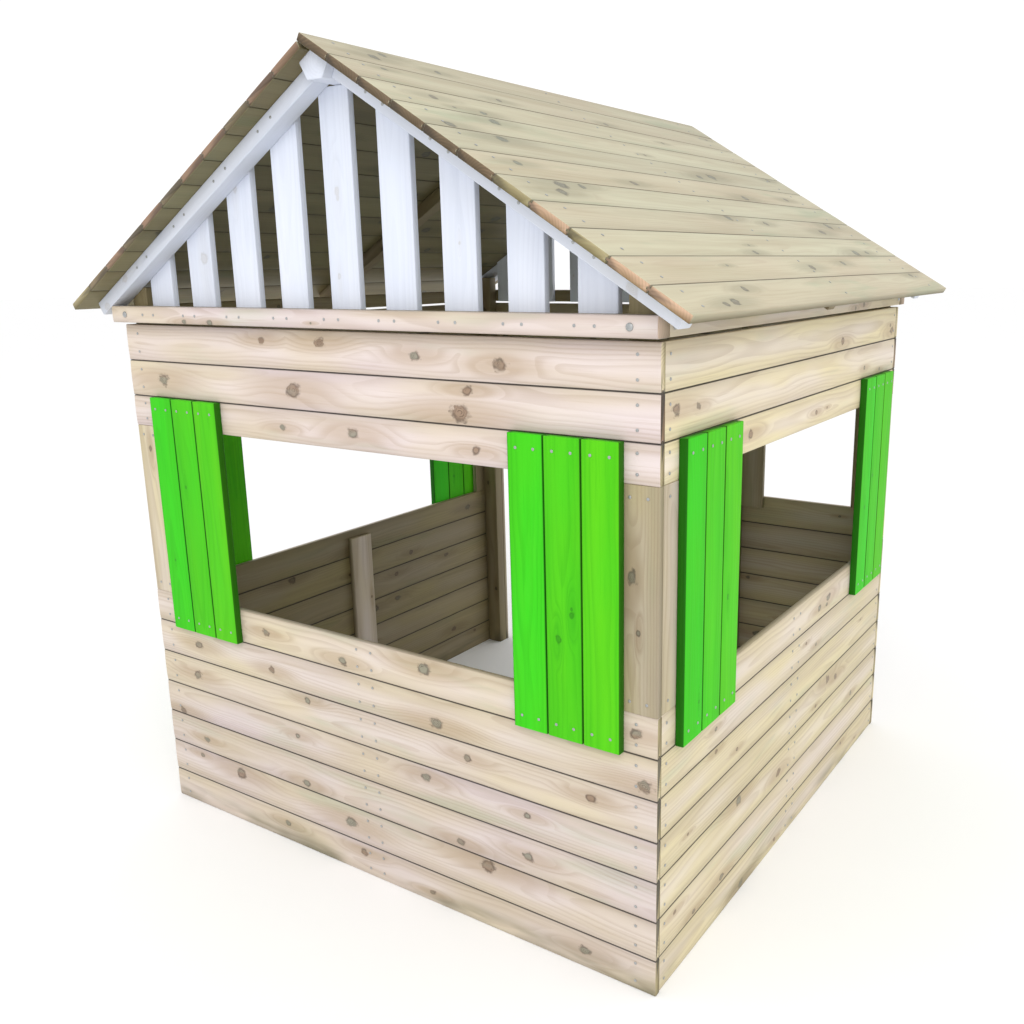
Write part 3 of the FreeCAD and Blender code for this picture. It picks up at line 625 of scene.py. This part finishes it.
# Shutters: three boards side by side, with bevelled edges that draw two dark lines
shutters = {"boards": 3, "width": 0.088, "step": 0.0895, "rounding": 0.0026, "crown": 0.0005,
            "warmth": (0.05, 0.6, 1.0)}
shutterShape = dict(boardShape, rounding=shutters["rounding"], crown=shutters["crown"])
shutterStyle = {"knotChance": 0.3, "knotSize": (0.003, 0.006), "pithDepth": (0.01, 0.05),
                "warmthSpread": 0.05}
shutterNodes = {"front_shutter_left": "front", "front_shutter_right": "front",
                "right_shutter_front": "right", "right_shutter_back": "right",
                "left_shutter_front": "left", "left_shutter_back": "left"}
for number, (node, side) in enumerate(shutterNodes.items()):
    low, high = nodeBox(node)
    run = np.abs(np.cross(upward, facing[side]))
    items = []
    for step in range(shutters["boards"]):
        begin = low + run * step * shutters["step"]
        end = np.where(run > 0, begin + shutters["width"], high)
        items.append(boxBoard(begin, end, np.cross(facing[side], upward), facing[side],
                              warmth=shutters["warmth"][step], lowSeam=True, highSeam=True))
    boardPiece(pieceName(node), items, "green_painted_wood", [node], 80 + number,
               shutterShape, shutterStyle)
print("shutters made:", len(shutterNodes))


# Roof

roof = {
    "rafterDepth": 0.036, "boardThickness": 0.018, "boards": 11, "gap": 0.0006,
    "eaveReach": 0.105, "slatWidth": 0.090, "slatPitch": 0.167, "slatsEachSide": 4,
    "slatGap": 0.001, "leftRafterLift": -4.0, "boardLift": 0.4, "liftStep": -0.14,
    "liftSpread": 0.5,
}    # sizes, how light each board is beside its neighbours, and painted shade on the left slope's white rafters
signs = {"left": -1.0, "right": 1.0}


def slopeOf(low, high, depth):
    # Angle of a tilted bar: its box is length * cos + depth * sin across,
    # and length * sin + depth * cos high.
    across, rise = high[0] - low[0], high[2] - low[2]
    angle = np.arctan2(rise, across)
    for attempt in range(40):
        angle = np.arctan2(rise - depth * np.cos(angle), across - depth * np.sin(angle))
    return angle


slopes = {side: slopeOf(*nodeBox(f"front_rafter_{side}"), roof["rafterDepth"]) for side in signs}
lifted = {side: np.array((signs[side] * np.sin(slopes[side]), 0.0, np.cos(slopes[side])))
          for side in signs}
downhill = {side: np.array((signs[side] * np.cos(slopes[side]), 0.0, -np.sin(slopes[side])))
            for side in signs}


def upperEnd(node, side):
    # Lower corner of a rafter's ridge end, in the plane of its gable.
    low, high = nodeBox(node)
    x = low[0] if side == "right" else high[0]
    return np.array((x, 0.0, high[2] - roof["rafterDepth"] * np.cos(slopes[side])))


def slopeBoard(first, side, length, depth, thickness, y, out, **more):
    # A bar down a slope, seen from a gable: first is the upper end of its underside line.
    across = lifted[side]
    along = np.cross(across, out)
    begin = 0.0 if along @ downhill[side] > 0 else length
    start = first + downhill[side] * begin + np.array((0.0, y, 0.0))
    return board(start, across, out, length, depth, thickness, **more)


# Rafters: the middle pair is bare timber, darkened all over as painted shade
number = 90
for place in ("front", "middle", "back"):
    for side in signs:
        node = f"{place}_rafter_{side}"
        low, high = nodeBox(node)
        length = (high[0] - low[0] - roof["rafterDepth"] * np.sin(slopes[side])) \
            / np.cos(slopes[side])
        out = facing["back" if place == "back" else "front"]
        y = high[1] if place == "back" else low[1]
        bare = place == "middle"
        # The left slope's white rafters are darkened as painted shade.
        lift = roof["leftRafterLift"] if side == "left" and not bare else 0.0
        item = slopeBoard(upperEnd(node, side), side, length, roof["rafterDepth"],
                          high[1] - low[1], y, out, warmth=0.4, stain=float(bare), lift=lift)
        boardPiece(pieceName(node), [item], "treated_pine" if bare else "white_painted_wood",
                   [node], number)
        number += 1

# The ridge line is where the two rafters' upper faces meet.
top = {side: upperEnd(f"front_rafter_{side}", side) + lifted[side] * roof["rafterDepth"]
       for side in signs}
fall = {side: np.tan(slopes[side]) for side in signs}
ridgeX = (top["right"][2] - top["left"][2] + top["right"][0] * fall["right"]
          + top["left"][0] * fall["left"]) / (fall["right"] + fall["left"])
ridgeZ = top["right"][2] + (top["right"][0] - ridgeX) * fall["right"]
ridge = np.array((ridgeX, 0.0, ridgeZ))
wallHalf = nodeBox("front_lower_cladding")[1][0]


def roofLine(x):
    # Height of the roof boards' underside over a place across the house.
    side = np.where(x > ridgeX, fall["right"], fall["left"])
    return ridgeZ - np.abs(x - ridgeX) * side


# Gable slats: upright boards whose tops follow the slope
slatShape = dict(boardShape, rounding=0.002, crown=0.0004)
for gable, seed in (("front", 100), ("back", 101)):
    node = f"{gable}_gable_slats"
    low, high = nodeBox(node)
    out = facing[gable]
    items = []
    for step in range(-roof["slatsEachSide"], roof["slatsEachSide"] + 1):
        left = step * roof["slatPitch"] - roof["slatWidth"] / 2
        edges = np.array((left, left + roof["slatWidth"]))
        slope = slopes["right" if step > 0 else "left"]
        tops = np.minimum(roofLine(edges) - roof["slatGap"] / np.cos(slope), high[2])
        item = boxBoard(np.array((edges[0], low[1], low[2])),
                        np.array((edges[1], high[1], tops.max())),
                        np.cross(out, upward), out, warmth=0.5)
        nearTop, farTop = tops if item["across"][0] > 0 else tops[::-1]
        item["length"] = nearTop - low[2]
        item["endSlope"] = (farTop - nearTop) / roof["slatWidth"]
        items.append(item)
    boardPiece(pieceName(node), items, "white_painted_wood", [node], seed, slatShape)
print("gables made")

# Roof boards: the right-hand slope covers the ends of the left-hand one at the ridge
thick = roof["boardThickness"]
bothSlopes = slopes["left"] + slopes["right"]
begin = {"left": thick / np.tan(bothSlopes) + roof["gap"], "right": -thick / np.sin(bothSlopes)}
roofShape = dict(boardShape, rounding=0.002, crown=0.0004, tongueNear=0.0065, tongueFar=0.0115)
roofStyle = {"knotChance": 0.9, "knotSize": (0.006, 0.014), "pithDepth": (0.01, 0.05),
             "warmthSpread": 0.4}
# Sawn-end tints of the roof boards, eave first: the left slope's are darkened as painted shade, and
# the dark ones near the ridge on the right are a painted shadow.
shadowedEnd, pinkEnd, mossEnd = shade(88, 66, 42), shade(204, 168, 140), shade(160, 150, 108)
shadedRedEnd, shadedDullEnd = shade(142, 108, 88), shade(108, 94, 68)
roofEnds = {
    "left": [mossEnd, shadedDullEnd, shadedRedEnd, shadedDullEnd, shadedRedEnd, shadedDullEnd, shadedRedEnd, shadedRedEnd, shadedDullEnd,
             shadedRedEnd, shadedRedEnd],
    "right": [pinkEnd, pinkEnd, mossEnd, pinkEnd, mossEnd, shadowedEnd, shadowedEnd, shadowedEnd, shadowedEnd,
              shadowedEnd, shadowedEnd],
}
for side in signs:
    node = f"roof_boards_{side}"
    low, high = nodeBox(node)
    end = (wallHalf + roof["eaveReach"] - signs[side] * ridgeX - thick * np.sin(slopes[side])) \
        / np.cos(slopes[side])
    pitch = (end - begin[side] + roof["gap"]) / roof["boards"]
    across = -downhill[side]
    along = np.cross(across, lifted[side])
    random = np.random.default_rng(7)
    items = []
    for step in range(roof["boards"]):
        foot = ridge + downhill[side] * (end - step * pitch) + lifted[side] * thick
        foot[1] = low[1] if along[1] > 0 else high[1]
        last = step == roof["boards"] - 1
        # Each roof board's underside is darkened as painted shade, with some rough-sawn darkening.
        items.append(board(foot, across, lifted[side], high[1] - low[1], pitch - roof["gap"],
                           thick, tongue=not last, groove=step > 0, warmth=0.3, backStain=1.0,
                           lowSeam=step > 0, highSeam=not last,
                           lift=roof["boardLift"] + roof["liftStep"] * step
                           + random.uniform(-1, 1) * roof["liftSpread"],
                           cutTint=roofEnds[side][step]))
    boardPiece(pieceName(node), items, "roof_pine", [node], 110 + (side == "right"),
               roofShape, roofStyle)
print("roof made")

# Ridge beam: its five-sided outline is carried along the roof, with a small bevel at each end
ridgeBeam = {"halfWidth": 0.043, "drop": 0.0617, "rounding": 0.003, "endBevel": 0.0015,
             "endSize": 0.95, "endRun": 0.06, "pith": (-0.02, 0.02)}


def roundedPolygon(points, radius):
    # Each corner becomes three points on a curve from one side to the next.
    before = np.roll(points, 1, axis=0) - points
    after = np.roll(points, -1, axis=0) - points
    before /= np.linalg.norm(before, axis=1)[:, None]
    after /= np.linalg.norm(after, axis=1)[:, None]
    first = points + before * radius
    last = points + after * radius
    middle = points + (before + after) * radius * 0.3
    return np.stack((first, middle, last), axis=1).reshape(-1, 2)


def makeRidgeBeam():
    # Half the beam lies on each slope; its lower corners are square to the slopes.
    low, high = nodeBox("ridge_beam")
    half, drop = ridgeBeam["halfWidth"], ridgeBeam["drop"]
    shoulder = {side: half * fall[side] for side in signs}
    foot = {side: half - (drop - shoulder[side]) * fall[side] for side in signs}
    points = np.array(((0.0, 0.0), (-half, -shoulder["left"]), (-foot["left"], -drop),
                       (foot["right"], -drop), (half, -shoulder["right"])))
    outline = roundedPolygon(points, ridgeBeam["rounding"])
    middle = outline.mean(axis=0)
    bevel = ridgeBeam["endBevel"]
    run, endSize = ridgeBeam["endRun"], ridgeBeam["endSize"]
    stations = np.array((low[1], low[1] + bevel, low[1] + run, 0.0, high[1] - run,
                         high[1] - bevel, high[1]))
    size = np.array((endSize, 1.0, 1.0, 1.0, 1.0, 1.0, endSize))
    flat = middle + (outline - middle) * size[:, None, None]
    count = len(outline)
    place = np.empty((len(stations), count, 3))
    place[..., 0] = flat[..., 0] + ridgeX
    place[..., 1] = stations[:, None]
    place[..., 2] = flat[..., 1] + ridgeZ
    ring = np.arange(count)
    row = (np.arange(len(stations) - 1) * count)[:, None]
    following = np.roll(ring, -1)
    sides = np.stack((row + ring, row + following, row + count + following, row + count + ring),
                     axis=-1).reshape(-1, 4)[:, ::-1]
    caps = [ring.tolist(), ((len(stations) - 1) * count + ring[::-1]).tolist()]
    pithAcross, pithUp = ridgeBeam["pith"]
    grain = np.stack((place[..., 1], place[..., 0] - ridgeX + pithAcross,
                      place[..., 2] - ridgeZ + pithUp), axis=-1)
    full = np.ones((*place.shape[:2], 1))
    fields = {"grain": grain, "tone": full * np.array((0.0, 0.5, 0.5)),
              "face": full * np.array((0.5, 0.0, 0.0)),
              "cutTint": full * np.array(shade(206, 186, 150))}
    for name in knotNames:
        fields[name] = full * np.array((20.0, 0.0, 0.001))
    fields = {key: value.reshape(-1, 3) for key, value in fields.items()}
    faces = sides.tolist() + caps
    marks = [0.0] * len(sides) + [1.0, 1.0]
    meshPiece("ridgeBeam", place.reshape(-1, 3), faces, "white_painted_wood", ["ridge_beam"],
              fields, marks)


makeRidgeBeam()


# Nails and bolts: low domes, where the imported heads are

heads = {    # radius and height of each dome
    "cladding_nails": (0.0035, 0.0012), "shutter_nails": (0.0035, 0.0012),
    "gable_nails": (0.0035, 0.0012), "roof_nails": (0.0035, 0.0012),
    "frame_bolts": (0.008, 0.004),
}
domeSides = 10
domeRings = ((1.0, 0.0), (0.97, 0.45), (0.78, 0.8), (0.4, 0.97))    # radius and height shares
insideHeight = 1.0    # a point at this height under the ridge is inside the house


def headIslands(mesh, spots):
    # Number of the head that each vertex is on: touching faces take their lowest number
    # again and again until nothing changes, with vertices at one place counted as one.
    same = np.unique(np.round(spots, 6), axis=0, return_inverse=True)[1].ravel()
    corners = np.zeros(len(mesh.polygons) * 3, np.int64)
    mesh.polygons.foreach_get("vertices", corners)
    faces = same[corners].reshape(-1, 3)
    labels = np.arange(same.max() + 1)
    while True:
        lowest = np.repeat(labels[faces].min(axis=1), 3)
        joined = labels.copy()
        np.minimum.at(joined, faces.ravel(), lowest)
        if np.array_equal(joined, labels):
            return np.unique(labels[same], return_inverse=True)[1].ravel()
        labels = joined


def headPlaces(node):
    # Each head's middle, and the axis in which it is thinnest, turned away from the house.
    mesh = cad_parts[node].data
    spots = np.zeros(len(mesh.vertices) * 3)
    mesh.vertices.foreach_get("co", spots)
    spots = spots.reshape(-1, 3)
    island = headIslands(mesh, spots)
    count = np.bincount(island)
    middle = np.zeros((len(count), 3))
    np.add.at(middle, island, spots)
    middle /= count[:, None]
    away = spots - middle[island]
    spread = np.zeros((len(count), 3, 3))
    np.add.at(spread, island, away[:, :, None] * away[:, None, :])
    axes = np.linalg.eigh(spread)[1][:, :, 0]
    inside = np.array((ridgeX, 0.0, insideHeight))
    axes *= np.sign(np.einsum("ni,ni->n", axes, middle - inside))[:, None]
    return middle, axes


def domePiece(node):
    # A dome is rings of shrinking radius about its axis, closed by a point.
    radius, height = heads[node]
    middle, axis = headPlaces(node)
    base = middle - axis * height / 2
    other = np.where(np.abs(axis[:, 2:3]) < 0.8, upward, facing["right"])
    sideways = np.cross(axis, other)
    sideways /= np.linalg.norm(sideways, axis=1)[:, None]
    forward = np.cross(axis, sideways)
    angle = np.linspace(0, 2 * np.pi, domeSides, endpoint=False)
    rings = []
    for share, lift in domeRings:
        rings.append(base[:, None, :] + axis[:, None, :] * height * lift
                     + radius * share * (sideways[:, None, :] * np.cos(angle)[None, :, None]
                                         + forward[:, None, :] * np.sin(angle)[None, :, None]))
    tip = (base + axis * height)[:, None, :]
    back = base[:, None, :]
    place = np.concatenate(rings + [tip, back], axis=1)
    each = place.shape[1]
    ring = np.arange(domeSides)
    following = np.roll(ring, -1)
    row = (np.arange(len(domeRings) - 1) * domeSides)[:, None]
    quads = np.stack((row + ring, row + following, row + domeSides + following,
                      row + domeSides + ring), axis=-1).reshape(-1, 4)
    last = (len(domeRings) - 1) * domeSides
    crown = np.stack((last + ring, last + following, np.full(domeSides, each - 2)), axis=-1)
    floor = np.stack((following, ring, np.full(domeSides, each - 1)), axis=-1)
    first = (np.arange(len(middle)) * each)[:, None, None]
    faces = (quads[None] + first).reshape(-1, 4).tolist() \
        + (crown[None] + first).reshape(-1, 3).tolist() \
        + (floor[None] + first).reshape(-1, 3).tolist()
    meshPiece(pieceName(node), place.reshape(-1, 3), faces, "galvanised_steel", [node], {}, None)


for node in heads:
    domePiece(node)
print("fasteners made")


# Floor, light and camera

studio = {
    "floorSize": 60.0, "floorColour": (0.95, 0.95, 0.95),
    "cloudScale": (3.0, 3.0, 3.0), "cloudShade": 0.985, "skyStrength": 1.06,
    "lampAim": (0.0, 0.0, 0.8), "lampSize": 3.5,
    "keyPlace": (3.4, -4.6, 5.2), "keyPower": 150.0,
    "fillPlace": (-4.5, -2.5, 3.5), "fillPower": 10.0,
}


def makeFloor():
    # A wide flat sheet, very slightly clouded.
    size = studio["floorSize"]
    mesh = bpy.data.meshes.new("floor")
    mesh.from_pydata([(-size, -size, 0), (size, -size, 0), (size, size, 0), (-size, size, 0)],
                     [], [(0, 1, 2, 3)])
    g = Graph("paleFloor")
    place = g.add("ShaderNodeTexCoord").outputs["Object"]
    cloud = g.noise(place, studio["cloudScale"], 3.0).outputs[0]
    low = tuple(studio["cloudShade"] * value for value in studio["floorColour"])
    surface = g.add("ShaderNodeBsdfPrincipled", {
        "Base Color": g.mix(cloud, low, studio["floorColour"]), "Roughness": 0.9,
        "Specular IOR Level": 0.1})
    g.add("ShaderNodeOutputMaterial", {"Surface": surface.outputs[0]})
    mesh.materials.append(g.material)
    floor = bpy.data.objects.new("floor", mesh)
    bpy.context.scene.collection.objects.link(floor)


def areaLight(name, place, power):
    # A square soft light that looks at the middle of the house.
    light = bpy.data.lights.new(name, "AREA")
    light.shape = "SQUARE"
    light.size = studio["lampSize"]
    light.energy = power
    lamp = bpy.data.objects.new(name, light)
    lamp.location = place
    away = np.array(studio["lampAim"]) - np.array(place)
    lamp.rotation_euler = (np.arctan2(np.hypot(away[0], away[1]), -away[2]), 0.0,
                           np.arctan2(away[1], away[0]) - np.pi / 2)
    bpy.context.scene.collection.objects.link(lamp)


makeFloor()
world = bpy.data.worlds.new("studioSky")
world.use_nodes = True
background = world.node_tree.nodes["Background"]
background.inputs["Color"].default_value = (1.0, 1.0, 1.0, 1.0)
background.inputs["Strength"].default_value = studio["skyStrength"]
bpy.context.scene.world = world
areaLight("keyLight", studio["keyPlace"], studio["keyPower"])
areaLight("fillLight", studio["fillPlace"], studio["fillPower"])
bpy.context.scene.view_settings.view_transform = "Standard"

view = {
    "place": (1.6771, -2.4494, 1.542), "turn": (1.3276, 0.0132, 0.5777),    # metres, radians
    "lens": 34.924, "shiftX": -0.055, "farthest": 200.0,
}
camera = bpy.data.objects.new("camera", bpy.data.cameras.new("camera"))
camera.location = view["place"]
camera.rotation_euler = view["turn"]
camera.data.lens = view["lens"]
camera.data.shift_x = view["shiftX"]
camera.data.clip_end = view["farthest"]
bpy.context.scene.collection.objects.link(camera)
bpy.context.scene.camera = camera
print("studio made")
